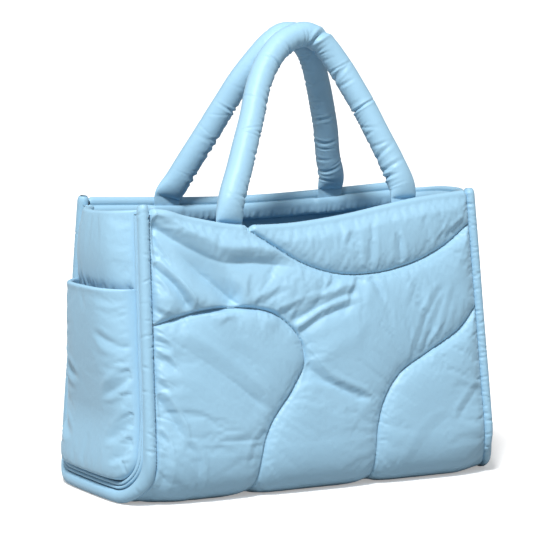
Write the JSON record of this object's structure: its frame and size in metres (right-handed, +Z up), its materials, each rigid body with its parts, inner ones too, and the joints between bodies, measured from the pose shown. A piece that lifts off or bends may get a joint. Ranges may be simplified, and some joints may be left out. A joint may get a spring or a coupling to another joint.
{
  "type": "puffer tote bag",
  "caption": "Open-topped padded tote bag with wave quilting, stuffed edge rolls, a slip pocket on each end and stuffed tube handles.",
  "frame": {"origin": "on the floor, under the middle of the bag's base", "axes": "+X along the front towards its right-hand end, +Y from the front wall to the back wall, +Z up"},
  "size_m": [0.4442, 0.2198, 0.4617],
  "materials": {
    "quilted_shell": "padded nylon with a soft sheen",
    "edge_trim": "the same nylon, rolled or folded flat and topstitched",
    "lining": "plain matte polyester",
    "handle_cloth": "nylon tubes stuffed round, with creases on the inside of the bend"
  },
  "bodies": {
    "root": {"front_panel": "quilted_shell", "back_panel": "quilted_shell", "base_panel": "quilted_shell", "left_gusset": "quilted_shell", "right_gusset": "quilted_shell", "left_pocket": "quilted_shell", "right_pocket": "quilted_shell", "left_edge_roll": "edge_trim", "right_edge_roll": "edge_trim", "left_edge_binding": "edge_trim", "right_edge_binding": "edge_trim", "front_hem_band": "lining", "back_hem_band": "lining", "left_hem_band": "lining", "right_hem_band": "lining", "front_handle": "handle_cloth", "back_handle": "handle_cloth"}
  },
  "joints": []
}
